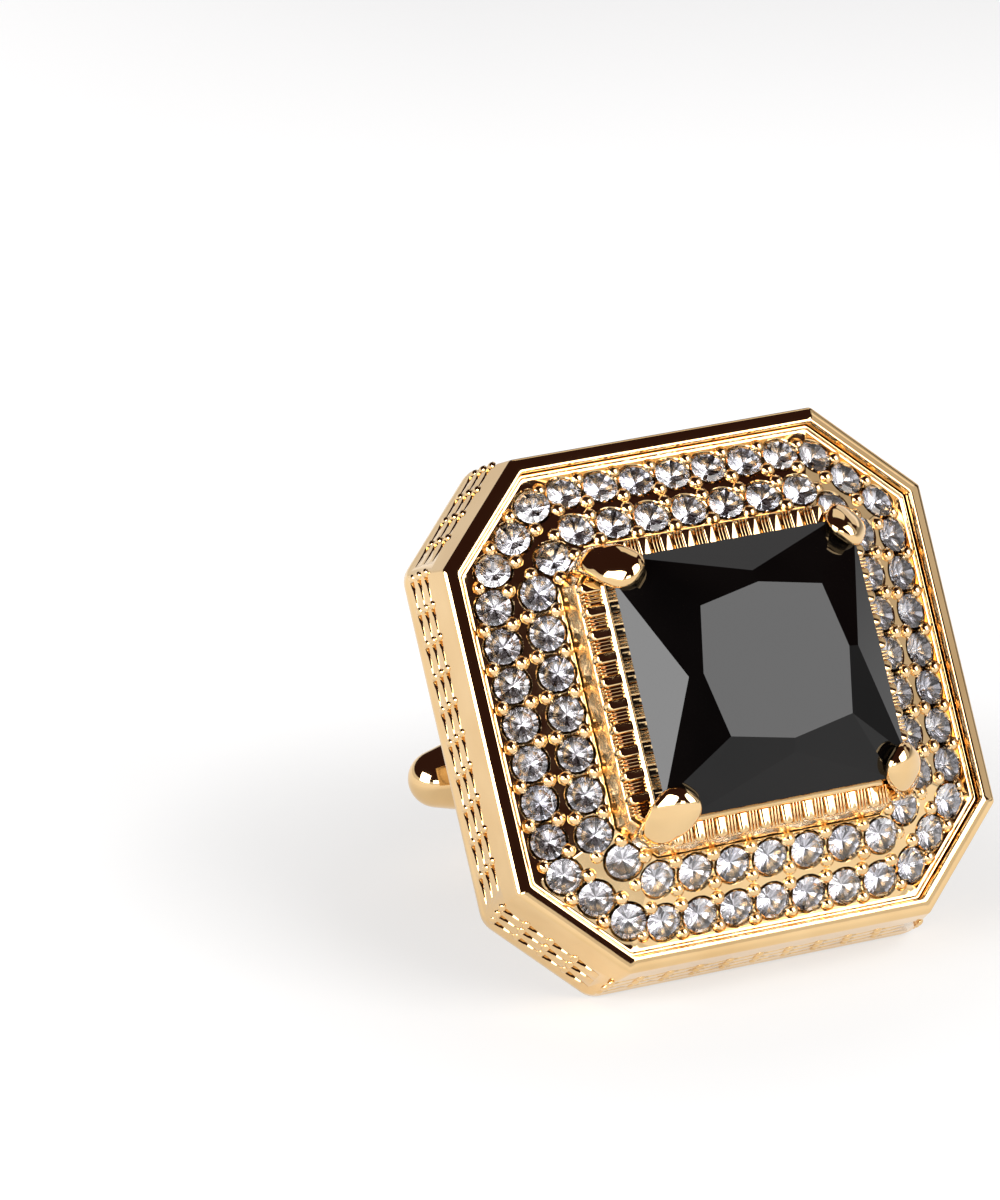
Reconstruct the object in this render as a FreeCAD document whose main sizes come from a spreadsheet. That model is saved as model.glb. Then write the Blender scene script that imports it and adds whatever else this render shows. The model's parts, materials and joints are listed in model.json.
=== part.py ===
import FreeCAD, Part
import math
import os
import Sketcher

# Cufflink with a square black stone in claws, a pave frame of round crystals in
# an eight-sided case, and a swivelling torpedo toggle on a forked stem.
# The pieces are drawn in the frame of the face: x to the right, y up the face,
# z out of it, with z = 0 at the plane of the rim. At the end the whole cufflink is
# laid on a table, leaning back on its stem.

doc = FreeCAD.newDocument("Cufflink")
sheet = doc.addObject("Spreadsheet::Sheet", "Sizes")
Vector = FreeCAD.Vector
SQRT2 = math.sqrt(2)


class Size:
    """A length with its value in millimetres and its text as an expression."""

    def __init__(self, text, value):
        self.text = text
        self.value = value

    def combine(self, other, sign, value):
        text = other.text if isinstance(other, Size) else repr(float(other))
        return Size("(" + self.text + " " + sign + " " + text + ")", value)

    def __add__(self, other):
        return self.combine(other, "+", self.value + number(other))

    def __sub__(self, other):
        return self.combine(other, "-", self.value - number(other))

    def __mul__(self, other):
        return self.combine(other, "*", self.value * number(other))

    def __truediv__(self, other):
        return self.combine(other, "/", self.value / number(other))

    def __neg__(self):
        return self * -1


def number(size):
    return size.value if isinstance(size, Size) else float(size)


def cell(alias, value, note):
    row = str(len(sheet.getUsedCells()) // 3 + 1)
    sheet.set("A" + row, alias)
    sheet.set("B" + row, str(value))
    sheet.set("C" + row, note)
    sheet.setAlias("B" + row, alias)
    return Size("Sizes." + alias, float(value))


# Fits
fit = cell("fit", 0.03, "clearance of a piece in its seat")
pin_fit = cell("pin_fit", 0.04, "radial clearance of the toggle on its pin")
swing_gap = cell("swing_gap", 0.15, "toggle to fork arm, each side")

# Centre stone
stone_width = cell("stone_width", 10.0, "stone across its flats")
stone_corner = cell("stone_corner", 0.78, "leg of the stone's cut corner")
table_mid = cell("table_mid", 3.01, "table vertex on the side's middle")
table_corner = cell("table_corner", 2.51, "table vertex on the diagonal, along x or y")
star_point = cell("star_point", 3.50, "top of the side triangle from the centre")
crown_height = cell("crown_height", 1.68, "girdle to table")
girdle_height = cell("girdle_height", 0.97, "upright polished edge")
pavilion_slope = cell("pavilion_slope", 0.9, "fall of the stone's underside per length")
culet_half = cell("culet_half", 0.8, "half width of the flat under the stone")

# Gallery round the stone
rail_lap = cell("rail_lap", 0.20, "rail under the stone's edge")
rail_gap = cell("rail_gap", 0.06, "rail beyond the stone's edge")
rail_height = cell("rail_height", 0.75, "depth of the seat rail")
rail_rise = cell("rail_rise", 0.46, "top of the rail over the gallery wall")
band_width = cell("band_width", 0.74, "ribbed band, inside to outside")
band_height = cell("band_height", 0.55, "ribbed band over the gallery wall")
band_bevel = cell("band_bevel", 0.28, "bevel of the band's outer edge")
rib_pitch = cell("rib_pitch", 0.94, "about one wide and one thin rib of the band")
rib_thin = cell("rib_thin", 0.20, "thin rib")
groove_width = cell("groove_width", 0.13, "groove between two ribs")
groove_depth = cell("groove_depth", 0.34, "groove from the band's outside")
gallery_step = cell("gallery_step", 0.20, "gallery wall beyond the band")
gallery_rise = cell("gallery_rise", 1.20, "gallery wall over the pave frame")
gallery_ledge = cell("gallery_ledge", 0.10, "gallery wall inside the rail")

# Pave frame and crystals
crystal_size = cell("crystal_size", 1.34, "crystal across its girdle")
crystal_gap = cell("crystal_gap", 0.12, "least gap between crystals in a row")
row_gap = cell("row_gap", 0.24, "gap between the two rows")
margin_outer = cell("margin_outer", 0.98, "outer row to the frame's outer edge")
margin_inner = cell("margin_inner", 0.75, "inner row to the frame's inner edge")
pave_slope = cell("pave_slope", 25.0, "slope of the frame in degrees")
pave_thick = cell("pave_thick", 0.95, "upright thickness of the frame")
pave_edge = cell("pave_edge", 0.90, "height of the frame's outer edge")
pave_foot = cell("pave_foot", 0.60, "width of the foot on the case's ledge")
crown_share = cell("crown_share", 0.24, "crystal crown height per girdle width")
table_share = cell("table_share", 0.56, "crystal table per girdle width")
crystal_girdle = cell("crystal_girdle", 0.08, "height of the crystal's girdle")
crystal_point = cell("crystal_point", 0.42, "crystal pavilion depth per girdle width")

# Case
rim_width = cell("rim_width", 0.61, "flat rim round the frame")
rim_depth = cell("rim_depth", 0.55, "rim over the frame's outer edge")
rim_round = cell("rim_round", 0.20, "rounding of the rim's outer edge")
wall_flare = cell("wall_flare", 0.20, "foot of the wall beyond the rim")
lip_step = cell("lip_step", 0.13, "base lip beyond the wall")
lip_height = cell("lip_height", 0.80, "height of the base lip")
lip_round = cell("lip_round", 1.20, "corner rounding of the base lip")
head_depth = cell("head_depth", 3.75, "rim to the back face")
plate_thick = cell("plate_thick", 0.60, "back plate")
plate_land = cell("plate_land", 0.70, "wall round the back plate")

# Claws
claw_width = cell("claw_width", 1.55, "claw across the diagonal")
claw_reach = cell("claw_reach", 1.35, "claw over the stone's corner")
claw_thick = cell("claw_thick", 0.62, "claw head over the stone")
claw_bend = cell("claw_bend", 2.20, "radius of the claw's arched back")
claw_tip = cell("claw_tip", 0.34, "thickness and half width of the claw's tip")
claw_root = cell("claw_root", 0.16, "claw at its lower end")
claw_lift = cell("claw_lift", 0.10, "claw's lower end over the pave frame")
claw_facet = cell("claw_facet", 0.42, "facets on both sides of the claw's back")

# Stem and toggle
stem_width = cell("stem_width", 3.0, "fork along the toggle")
arm_thick = cell("arm_thick", 0.90, "fork arm")
bridge_thick = cell("bridge_thick", 1.00, "foot of the fork on the back plate")
tenon_radius = cell("tenon_radius", 1.20, "stem tenon through the back plate")
tenon_head = cell("tenon_head", 1.75, "radius of the tenon's riveted head")
tenon_head_thick = cell("tenon_head_thick", 0.45, "riveted head")
toggle_length = cell("toggle_length", 16.4, "toggle from tip to tip")
toggle_radius = cell("toggle_radius", 2.35, "toggle at its middle")
barrel_length = cell("barrel_length", 5.60, "straight middle of the toggle")
tip_radius = cell("tip_radius", 1.13, "ball tip of the toggle")
turn_gap = cell("turn_gap", 0.35, "turned toggle's tip to the fork's foot")
pin_radius = cell("pin_radius", 0.60, "toggle pin")
pin_head = cell("pin_head", 0.95, "riveted pin head radius")
pin_head_thick = cell("pin_head_thick", 0.28, "riveted pin head")

doc.recompute()

CRYSTAL_SIDES = 8
NEAR = 0.001

# Sizes across the face, from the stone outwards. Each is half a width.
stone_half = stone_width / 2
rail_inner = stone_half - rail_lap
rail_outer = stone_half + rail_gap
band_outer = rail_outer + band_width
gallery_half = band_outer + gallery_step
pave_inner = gallery_half + fit
row_inner = pave_inner + margin_inner
row_outer = row_inner + crystal_size + row_gap
pave_outer = row_outer + margin_outer
rim_inner = pave_outer + fit
rim_outer = rim_inner + rim_width
wall_half = rim_outer + wall_flare
head_half = wall_half + lip_step
plate_hole = wall_half - plate_land

# Heights from the rim plane
pave_run = pave_outer - pave_inner
pave_rise = Size("tan(Sizes.pave_slope * 1deg)", math.tan(math.radians(pave_slope.value)))
pave_low = -rim_depth
pave_high = pave_low + pave_run * pave_rise
ledge = pave_low - pave_edge
gallery_top = pave_high + gallery_rise
rail_top = gallery_top + rail_rise
rail_bottom = rail_top - rail_height
girdle_low = rail_top + rail_lap * pavilion_slope + fit
girdle_top = girdle_low + girdle_height
back = -head_depth
plate_face = back + plate_thick

# Depths behind the face
toggle_half = toggle_length / 2
bridge_back = back - bridge_thick
pivot = bridge_back - turn_gap - toggle_half
arm_inner = toggle_radius + swing_gap
arm_outer = arm_inner + arm_thick
arm_end = pivot - stem_width / 2


def straight(half):
    """Half the straight side of the stone's outline, offset out to this half width."""
    return stone_half - stone_corner + (half - stone_half) * (SQRT2 - 1)


def corner_reach(half):
    """Distance from the centre to the cut corner of the same outline."""
    return (half + straight(half)) / SQRT2


def octagon(half):
    long, short = half, straight(half)
    return [(long, -short), (long, short), (short, long), (-short, long),
            (-long, short), (-long, -short), (-short, -long), (short, -long)]


# Sketches and features
def new_body(label):
    body = doc.addObject("PartDesign::Body", label)
    body.Label = label
    return body


def origin_plane(body, role):
    return [item for item in body.Origin.OriginFeatures if item.Role == role][0]


def new_sketch(body, name, role, offset=None):
    sketch = body.newObject("Sketcher::SketchObject", name)
    sketch.AttachmentSupport = [(origin_plane(body, role), "")]
    sketch.MapMode = "FlatFace"
    if offset is not None:
        sketch.setExpression("AttachmentOffset.Base.z", offset.text)
    return sketch


def hold_point(sketch, curve, end, point):
    """Dimension one end of a curve from the sketch's origin."""
    for kind, axis, place in (("DistanceX", -2, point[0]), ("DistanceY", -1, point[1])):
        if number(place) == 0:
            sketch.addConstraint(Sketcher.Constraint("PointOnObject", curve, end, axis))
        else:
            index = sketch.addConstraint(
                Sketcher.Constraint(kind, -1, 1, curve, end, number(place)))
            sketch.setExpression("Constraints[%d]" % index, place.text)


def draw_outline(sketch, points):
    """Closed outline of lines. A point with a third value starts an arc of that radius."""
    corners = [Vector(number(p[0]), number(p[1]), 0) for p in points]
    for i, point in enumerate(points):
        start, end = corners[i], corners[(i + 1) % len(corners)]
        if len(point) == 2:
            sketch.addGeometry(Part.LineSegment(start, end))
        else:
            sketch.addGeometry(arc_between(start, end, number(point[2])))
    for i in range(len(points)):
        after = (i + 1) % len(points)
        sketch.addConstraint(Sketcher.Constraint("Coincident", i, 2, after, 1))
    for i, point in enumerate(points):
        hold_point(sketch, i, 1, point)
        if len(point) == 3:
            index = sketch.addConstraint(Sketcher.Constraint("Radius", i, number(point[2])))
            sketch.setExpression("Constraints[%d]" % index, point[2].text)


def arc_between(start, end, radius):
    """Counter-clockwise arc of under a half circle."""
    half_chord = (end - start) / 2
    lift = math.sqrt(max(radius ** 2 - half_chord.Length ** 2, 0))
    side = Vector(-half_chord.y, half_chord.x, 0).normalize()
    centre = start + half_chord + side * lift
    first = math.atan2(start.y - centre.y, start.x - centre.x)
    last = math.atan2(end.y - centre.y, end.x - centre.x)
    circle = Part.Circle(centre, Vector(0, 0, 1), radius)
    return Part.ArcOfCircle(circle, first, last if last > first else last + 2 * math.pi)


def octagon_sketch(body, name, half, height=None):
    sketch = new_sketch(body, name, "XY_Plane", height)
    draw_outline(sketch, octagon(half))
    return sketch


def circle_sketch(body, name, role, offset, radius, centre_y=None):
    sketch = new_sketch(body, name, role, offset)
    middle = Vector(0, number(centre_y) if centre_y else 0, 0)
    sketch.addGeometry(Part.Circle(middle, Vector(0, 0, 1), radius.value))
    if centre_y:
        hold_point(sketch, 0, 3, (0, centre_y))
    else:
        sketch.addConstraint(Sketcher.Constraint("Coincident", 0, 3, -1, 1))
    index = sketch.addConstraint(Sketcher.Constraint("Radius", 0, radius.value))
    sketch.setExpression("Constraints[%d]" % index, radius.text)
    return sketch


def add_length(body, kind, name, sketch, length, backwards=False):
    feature = body.newObject("PartDesign::" + kind, name)
    feature.Profile = sketch
    feature.Length = length.value
    feature.setExpression("Length", length.text)
    feature.Reversed = backwards
    return feature


def add_loft(body, kind, name, first, second):
    feature = body.newObject("PartDesign::" + kind, name)
    feature.Profile = first
    feature.Sections = [second]
    feature.Ruled = True
    return feature


def dress_edges(body, kind, name, size, chosen):
    """Fillet or Chamfer on the edges of the body that the test picks."""
    doc.recompute()
    base = body.Tip
    names = ["Edge%d" % (i + 1) for i, edge in enumerate(base.Shape.Edges) if chosen(edge)]
    feature = body.newObject("PartDesign::" + kind, name)
    feature.Base = (base, names)
    feature.setExpression("Radius" if kind == "Fillet" else "Size", size.text)
    return feature


def add_draft(body, name, hinge, middle, slope):
    """Lean the faces at the middle height inwards, turning about the flat face at the hinge."""
    doc.recompute()
    base = body.Tip
    faces = {"Face%d" % (i + 1): face.CenterOfMass.z for i, face in enumerate(base.Shape.Faces)}
    feature = body.newObject("PartDesign::Draft", name)
    feature.Base = (base, [face for face in faces if abs(faces[face] - middle.value) < NEAR])
    feature.NeutralPlane = (base, [face for face in faces if abs(faces[face] - hinge.value) < NEAR])
    feature.setExpression("Angle", "atan(" + slope.text + ")")
    return feature


def octagon_ring(body, name, outer, inner, bottom, height):
    add_length(body, "Pad", name + "_block", octagon_sketch(body, name + "_outer", outer, bottom),
               height)
    add_length(body, "Pocket", name + "_hole",
               octagon_sketch(body, name + "_inner", inner, bottom + height), height)


def lies_at(edge, height):
    return all(abs(v.Z - number(height)) < NEAR for v in edge.Vertexes)


def is_outer(edge, half):
    """True for an edge on the eight-sided outline of this half width."""
    middle = edge.CenterOfMass
    x, y = abs(middle.x), abs(middle.y)
    return abs(max(x, y, (x + y) / SQRT2 - corner_reach(half).value + half.value)
               - half.value) < NEAR


# Case
def make_case_shell():
    body = new_body("case_shell")
    add_length(body, "Pad", "lip", octagon_sketch(body, "lip_outline", head_half, back), lip_height)
    lip_middle = back + lip_height / 2
    dress_edges(body, "Fillet", "lip_corners", lip_round,
                lambda edge: abs(edge.CenterOfMass.z - lip_middle.value) < NEAR)
    lip_top = back + lip_height
    add_length(body, "Pad", "wall", octagon_sketch(body, "wall_foot", wall_half, lip_top), -lip_top)
    add_draft(body, "wall_lean", lip_top, lip_top / 2, wall_flare / -lip_top)
    dress_edges(body, "Fillet", "rim_edge", rim_round,
                lambda edge: lies_at(edge, 0) and is_outer(edge, rim_outer))
    add_length(body, "Pocket", "frame_recess",
               octagon_sketch(body, "recess_outline", rim_inner), -ledge)
    add_length(body, "Pocket", "cavity",
               octagon_sketch(body, "cavity_outline", pave_outer - pave_foot, ledge),
               head_depth + ledge)
    add_length(body, "Pocket", "plate_rebate",
               octagon_sketch(body, "rebate_outline", plate_hole, plate_face), plate_thick)
    return body


def make_back_plate():
    body = new_body("back_plate")
    add_length(body, "Pad", "plate", octagon_sketch(body, "plate_outline", plate_hole - fit, back),
               plate_thick)
    add_length(body, "Pocket", "tenon_hole",
               circle_sketch(body, "tenon_outline", "XY_Plane", plate_face, tenon_radius + fit),
               plate_thick)
    return body


# Crystals and the frame they are set in
def ring(sides, radius, height):
    turns = [2 * math.pi * (i + 0.5) / sides for i in range(sides)]
    return [Vector(radius * math.cos(a), radius * math.sin(a), height) for a in turns]


def flat_face(points):
    return Part.Face(Part.makePolygon(points + points[:1]))


def closed_solid(faces):
    solid = Part.makeSolid(Part.makeShell(faces))
    if solid.Volume < 0:
        solid.reverse()
    return solid


def stacked_solid(rings, tip):
    """Closed solid through rings of points from the top down to a pointed tip."""
    faces = [flat_face(rings[0])]
    count = len(rings[0])
    for upper, lower in zip(rings, rings[1:]):
        for i in range(count):
            j = (i + 1) % count
            faces.append(flat_face([upper[i], upper[j], lower[j], lower[i]]))
    last = rings[-1]
    faces.extend(flat_face([last[i], last[(i + 1) % count], tip]) for i in range(count))
    return closed_solid(faces)


def crystal_at(grow, top_up):
    """Crystal with its girdle's upper edge at z = 0, or its seat when it is grown."""
    radius = crystal_size.value / 2 + grow
    girdle = crystal_girdle.value
    crown = crown_share.value * crystal_size.value
    point = crystal_point.value * crystal_size.value + grow
    if top_up:
        top = ring(CRYSTAL_SIDES, radius, crown)
    else:
        top = ring(CRYSTAL_SIDES, radius * table_share.value, crown)
    rings = [top, ring(CRYSTAL_SIDES, radius, 0), ring(CRYSTAL_SIDES, radius, -girdle)]
    return stacked_solid(rings, Vector(0, 0, -girdle - point))


def row_places(half):
    """Places along one row, from the middle of each cut corner to the sides' middles."""
    side = straight(half).value
    leg = (half.value - side) / SQRT2
    count = int((side + leg) / (crystal_size.value + crystal_gap.value))
    pitch = (side + leg) / count
    places = []
    for corner in range(4):
        for k in range(1 - count, count + 1):
            along = k * pitch
            over = max(abs(along) - leg, 0)
            x = corner_reach(half).value / SQRT2 + min(leg, abs(along)) / SQRT2
            y = corner_reach(half).value / SQRT2 - min(leg, abs(along)) / SQRT2 - over
            facing = 0 if over > 0 else 45
            if along < 0:
                x, y, facing = y, x, 90 - facing
            group = "corner" if over == 0 else "side"
            places.append((group, corner, along > 0, Vector(x, y, 0), facing))
    return places


def crystal_placement(place, corner, facing):
    """On the frame's slope, with the axis square to it."""
    direction = Vector(math.cos(math.radians(facing)), math.sin(math.radians(facing)), 0)
    if facing == 45:
        inset = corner_reach(pave_outer).value - place.dot(direction)
    else:
        inset = pave_outer.value - place.dot(direction)
    height = pave_low.value + inset * pave_rise.value
    tilt = FreeCAD.Rotation(Vector(-direction.y, direction.x, 0), pave_slope.value)
    spot = FreeCAD.Placement(Vector(place.x, place.y, height), tilt)
    turn = FreeCAD.Placement(Vector(), FreeCAD.Rotation(Vector(0, 0, 1), 90 * corner))
    return turn.multiply(spot)


def make_crystals():
    """One group of crystals for each side and corner of both rows, and their seats."""
    sides = ["right", "top", "left", "bottom"]
    corners = ["top_right", "top_left", "bottom_left", "bottom_right"]
    groups = {}
    seats = []
    for row, half in (("outer", row_outer), ("inner", row_inner)):
        for group, corner, clockwise, place, facing in row_places(half):
            if group == "corner":
                label = row + "_crystals_" + corners[corner]
            else:
                label = row + "_crystals_" + sides[corner if clockwise else (corner + 1) % 4]
            spot = crystal_placement(place, corner, facing)
            gem = crystal_at(0, False)
            gem.Placement = spot
            groups.setdefault(label, []).append(gem)
            seat = crystal_at(fit.value, True)
            seat.Placement = spot
            seats.append(seat)
    features = []
    for label in sorted(groups):
        feature = doc.addObject("Part::Feature", label)
        feature.Label = label
        feature.Shape = Part.makeCompound(groups[label])
        features.append(feature)
    cutters = doc.addObject("Part::Feature", "crystal_seats")
    cutters.Shape = Part.makeCompound(seats)
    return features, cutters


def make_pave_frame(cutters):
    body = new_body("pave_blank")
    add_length(body, "Pad", "edge", octagon_sketch(body, "edge_outline", pave_outer, ledge),
               pave_edge)
    add_loft(body, "AdditiveLoft", "slope",
             octagon_sketch(body, "slope_foot", pave_outer, pave_low),
             octagon_sketch(body, "slope_top", pave_inner, pave_high))
    add_loft(body, "SubtractiveLoft", "underside",
             octagon_sketch(body, "under_foot", pave_outer - pave_foot, ledge),
             octagon_sketch(body, "under_top", pave_inner, pave_high - pave_thick))
    add_length(body, "Pocket", "gallery_opening",
               octagon_sketch(body, "opening_outline", pave_inner, pave_high), pave_high - ledge)
    frame = doc.addObject("Part::Cut", "pave_frame")
    frame.Label = "pave_frame"
    frame.Base = body
    frame.Tool = cutters
    return frame


# Gallery, rail and ribbed band
def make_gallery():
    body = new_body("gallery")
    add_length(body, "Pad", "wall", octagon_sketch(body, "wall_outline", gallery_half, plate_face),
               gallery_top - plate_face)
    add_length(body, "Pocket", "well",
               octagon_sketch(body, "well_outline", rail_inner - gallery_ledge, gallery_top),
               gallery_top - plate_face)
    add_length(body, "Pocket", "rail_rebate",
               octagon_sketch(body, "rebate_outline", rail_outer, gallery_top),
               gallery_top - rail_bottom)
    return body


def make_seat_rail():
    body = new_body("seat_rail")
    octagon_ring(body, "rail", rail_outer, rail_inner, rail_bottom, rail_height)
    return body


def make_ribbed_band():
    """Bevelled ring, cut into wide and thin ribs in turn on its four long sides."""
    body = new_body("ribbed_band")
    octagon_ring(body, "band", band_outer, rail_outer, gallery_top, band_height)
    top = gallery_top + band_height
    dress_edges(body, "Chamfer", "band_edge", band_bevel,
                lambda edge: lies_at(edge, top) and is_outer(edge, band_outer))
    side = straight(band_outer)
    count = round(2 * side.value / rib_pitch.value)
    pitch = side * 2 / count
    first = rib_thin
    second = pitch - groove_width
    inside = band_outer - groove_depth
    grooves = []
    for name, start in (("groove", first), ("next_groove", second)):
        cut = new_sketch(body, name + "_outline", "XZ_Plane", side - start)
        draw_outline(cut, [(inside, gallery_top), (band_outer, gallery_top),
                           (band_outer, top), (inside, top)])
        grooves.append(add_length(body, "Pocket", name, cut, groove_width))
    along = body.newObject("PartDesign::LinearPattern", "along_side")
    along.Direction = (origin_plane(body, "Y_Axis"), [""])
    along.Occurrences = count
    along.setExpression("Length", (pitch * (count - 1)).text)
    around = body.newObject("PartDesign::PolarPattern", "four_sides")
    around.Axis = (origin_plane(body, "Z_Axis"), [""])
    around.Angle = 360
    around.Occurrences = 4
    ribs = body.newObject("PartDesign::MultiTransform", "ribs")
    ribs.Originals = grooves
    ribs.Transformations = [along, around]
    body.Tip = ribs
    return body


# Stone
def make_centre_stone():
    """Octagon table, a triangle on each side, two facets at each corner, plain pavilion."""
    low, girdle = girdle_low.value, girdle_top.value
    table = girdle + crown_height.value
    half = stone_half.value
    side = straight(stone_half).value
    mid, corner, star = table_mid.value, table_corner.value, star_point.value
    depth = (half - culet_half.value) * pavilion_slope.value
    shrink = culet_half.value / half

    # The corner facet's plane gives the height of the side triangle's top.
    across = Vector(corner - mid, corner, 0).cross(Vector(half - mid, side, girdle - table))
    star_height = table - across.x * (star - mid) / across.z

    def turned(point, quarter):
        return FreeCAD.Rotation(Vector(0, 0, 1), 90 * quarter).multVec(point)

    faces = []
    table_outline = []
    culet_outline = []
    for quarter in range(4):
        def at(x, y, z, extra=0):
            return turned(Vector(x, y, z), quarter + extra)
        right_mid, top_mid = at(mid, 0, table), at(mid, 0, table, 1)
        right_star, top_star = at(star, 0, star_height), at(star, 0, star_height, 1)
        table_point = at(corner, corner, table)
        right_edge, top_edge = at(half, side, girdle), at(side, half, girdle)
        right_low, top_low = at(half, side, low), at(side, half, low)
        before, before_low = at(half, -side, girdle), at(half, -side, low)
        right_sole = at(half * shrink, side * shrink, low - depth)
        top_sole = at(side * shrink, half * shrink, low - depth)
        before_sole = at(half * shrink, -side * shrink, low - depth)
        faces.append(flat_face([right_mid, right_star, right_edge, table_point]))
        faces.append(flat_face([table_point, top_edge, top_star, top_mid]))
        faces.append(flat_face([table_point, right_edge, top_edge]))
        faces.append(flat_face([before, right_edge, right_star]))
        faces.append(flat_face([before_low, right_low, right_edge, before]))
        faces.append(flat_face([right_low, top_low, top_edge, right_edge]))
        faces.append(flat_face([before_sole, right_sole, right_low, before_low]))
        faces.append(flat_face([right_sole, top_sole, top_low, right_low]))
        table_outline.extend([right_mid, table_point])
        culet_outline.extend([before_sole, right_sole])
    faces.append(flat_face(table_outline))
    faces.append(flat_face(culet_outline))
    stone = doc.addObject("Part::Feature", "centre_stone")
    stone.Label = "centre_stone"
    stone.Shape = closed_solid(faces)
    return stone


# Claws, drawn with x out along the diagonal
def make_claw(label):
    """Hook from the gallery's cut corner over the stone's corner, narrowing to its tip."""
    body = new_body(label)
    wall = corner_reach(gallery_half)
    stone_edge = corner_reach(stone_half) + fit
    band_top = gallery_top + band_height + fit
    fall = crown_height / (corner_reach(stone_half) - table_corner * SQRT2)
    seat_height = girdle_top + fit * 2
    tip = stone_edge - claw_reach
    tip_height = seat_height + claw_reach * fall
    foot = pave_high + claw_lift
    half_width = claw_width / 2
    side = new_sketch(body, "claw_side", "XZ_Plane", -half_width)
    draw_outline(side, [
        (wall, foot), (wall + claw_root, foot), (wall + claw_thick, girdle_low, claw_bend),
        (tip, tip_height + claw_tip), (tip, tip_height), (stone_edge, seat_height),
        (stone_edge, band_top), (wall, band_top)])
    add_length(body, "Pad", "claw_block", side, claw_width)
    dress_edges(body, "Chamfer", "claw_facets", claw_facet,
                lambda edge: is_claw_back(edge, wall + claw_root))
    high = tip_height + claw_bend
    taper = new_sketch(body, "claw_taper", "XY_Plane", high)
    draw_outline(taper, [(tip - claw_tip, claw_tip), (stone_edge, half_width),
                         (stone_edge, claw_width), (tip - claw_tip, claw_width)])
    flank = add_length(body, "Pocket", "claw_flank", taper, high - foot)
    mirror = body.newObject("PartDesign::Mirrored", "claw_flanks")
    mirror.Originals = [flank]
    mirror.MirrorPlane = (origin_plane(body, "XZ_Plane"), [""])
    body.Tip = mirror
    return body


def is_claw_back(edge, outside):
    """Edges of the two flanks along the claw's outer side and its arched back."""
    middle = edge.CenterOfMass
    on_flank = abs(abs(middle.y) - claw_width.value / 2) < NEAR
    return on_flank and (middle.x > outside.value or edge.Curve.TypeId == "Part::GeomCircle")


# Stem, pin and toggle
def make_stem_fork():
    body = new_body("stem_fork")
    foot = new_sketch(body, "foot_outline", "XY_Plane", bridge_back)
    half_width = stem_width / 2
    draw_outline(foot, [(-half_width, -arm_outer), (half_width, -arm_outer),
                        (half_width, arm_outer), (-half_width, arm_outer)])
    add_length(body, "Pad", "foot", foot, bridge_thick)
    arm = new_sketch(body, "arm_outline", "XZ_Plane", arm_inner)
    draw_outline(arm, [(half_width, bridge_back), (-half_width, bridge_back), (-half_width, pivot),
                       (half_width, pivot)])
    arm_bar = add_length(body, "Pad", "arm", arm, arm_thick)
    arm_tip = add_length(body, "Pad", "arm_end",
                         circle_sketch(body, "end_outline", "XZ_Plane", arm_inner, half_width, pivot),
                         arm_thick)
    mirror = body.newObject("PartDesign::Mirrored", "other_arm")
    mirror.Originals = [arm_bar, arm_tip]
    mirror.MirrorPlane = (origin_plane(body, "XZ_Plane"), [""])
    body.Tip = mirror
    add_length(body, "Pocket", "pin_hole",
               circle_sketch(body, "pin_outline", "XZ_Plane", arm_outer, pin_radius + fit, pivot),
               arm_outer * 2)
    add_length(body, "Pad", "tenon",
               circle_sketch(body, "tenon_outline", "XY_Plane", back, tenon_radius), plate_thick)
    add_length(body, "Pad", "tenon_top",
               circle_sketch(body, "head_outline", "XY_Plane", plate_face, tenon_head),
               tenon_head_thick)
    return body


def make_pivot_pin():
    body = new_body("pivot_pin")
    add_length(body, "Pad", "shank",
               circle_sketch(body, "shank_outline", "XZ_Plane", -arm_outer, pin_radius, pivot),
               arm_outer * 2)
    add_length(body, "Pad", "front_head",
               circle_sketch(body, "front_outline", "XZ_Plane", arm_outer, pin_head, pivot),
               pin_head_thick)
    add_length(body, "Pad", "rear_head",
               circle_sketch(body, "rear_outline", "XZ_Plane", -arm_outer - pin_head_thick, pin_head,
                             pivot), pin_head_thick)
    return body


def make_toggle():
    """Torpedo turned about x: a barrel, and a cone at each end that runs into the ball tip."""
    body = new_body("toggle")
    profile = new_sketch(body, "profile", "XY_Plane", pivot)
    ball = toggle_half - tip_radius
    shoulder = barrel_length / 2
    # The cone touches the ball where its slope is square to the ball's radius.
    reach = math.hypot(ball.value - shoulder.value, toggle_radius.value)
    fall = math.atan2(toggle_radius.value, ball.value - shoulder.value)
    touch = math.pi - fall - math.acos(tip_radius.value / reach)
    join = ball + tip_radius * math.cos(touch)
    neck = tip_radius * math.sin(touch)
    draw_outline(profile, [(-toggle_half, 0), (toggle_half, 0, tip_radius), (join, neck),
                           (shoulder, toggle_radius), (-shoulder, toggle_radius),
                           (-join, neck, tip_radius)])
    turned = body.newObject("PartDesign::Revolution", "turned")
    turned.Profile = profile
    turned.ReferenceAxis = (profile, ["H_Axis"])
    turned.Angle = 360
    add_length(body, "Pocket", "pin_bore",
               circle_sketch(body, "bore_outline", "XZ_Plane", toggle_radius, pin_radius + pin_fit,
                             pivot), toggle_radius * 2)
    return body


# Assembly
crystals, seats = make_crystals()
parts = [make_case_shell(), make_back_plate(), make_pave_frame(seats), make_gallery(),
         make_seat_rail(), make_ribbed_band(), make_centre_stone(), make_stem_fork(),
         make_pivot_pin(), make_toggle()] + crystals
claw_names = ["claw_top_right", "claw_top_left", "claw_bottom_left", "claw_bottom_right"]
claws = [make_claw(name) for name in claw_names]
doc.recompute()

turns = {}
for quarter, claw in enumerate(claws):
    turns[claw.Name] = FreeCAD.Rotation(Vector(0, 0, 1), 45 + 90 * quarter)

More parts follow.
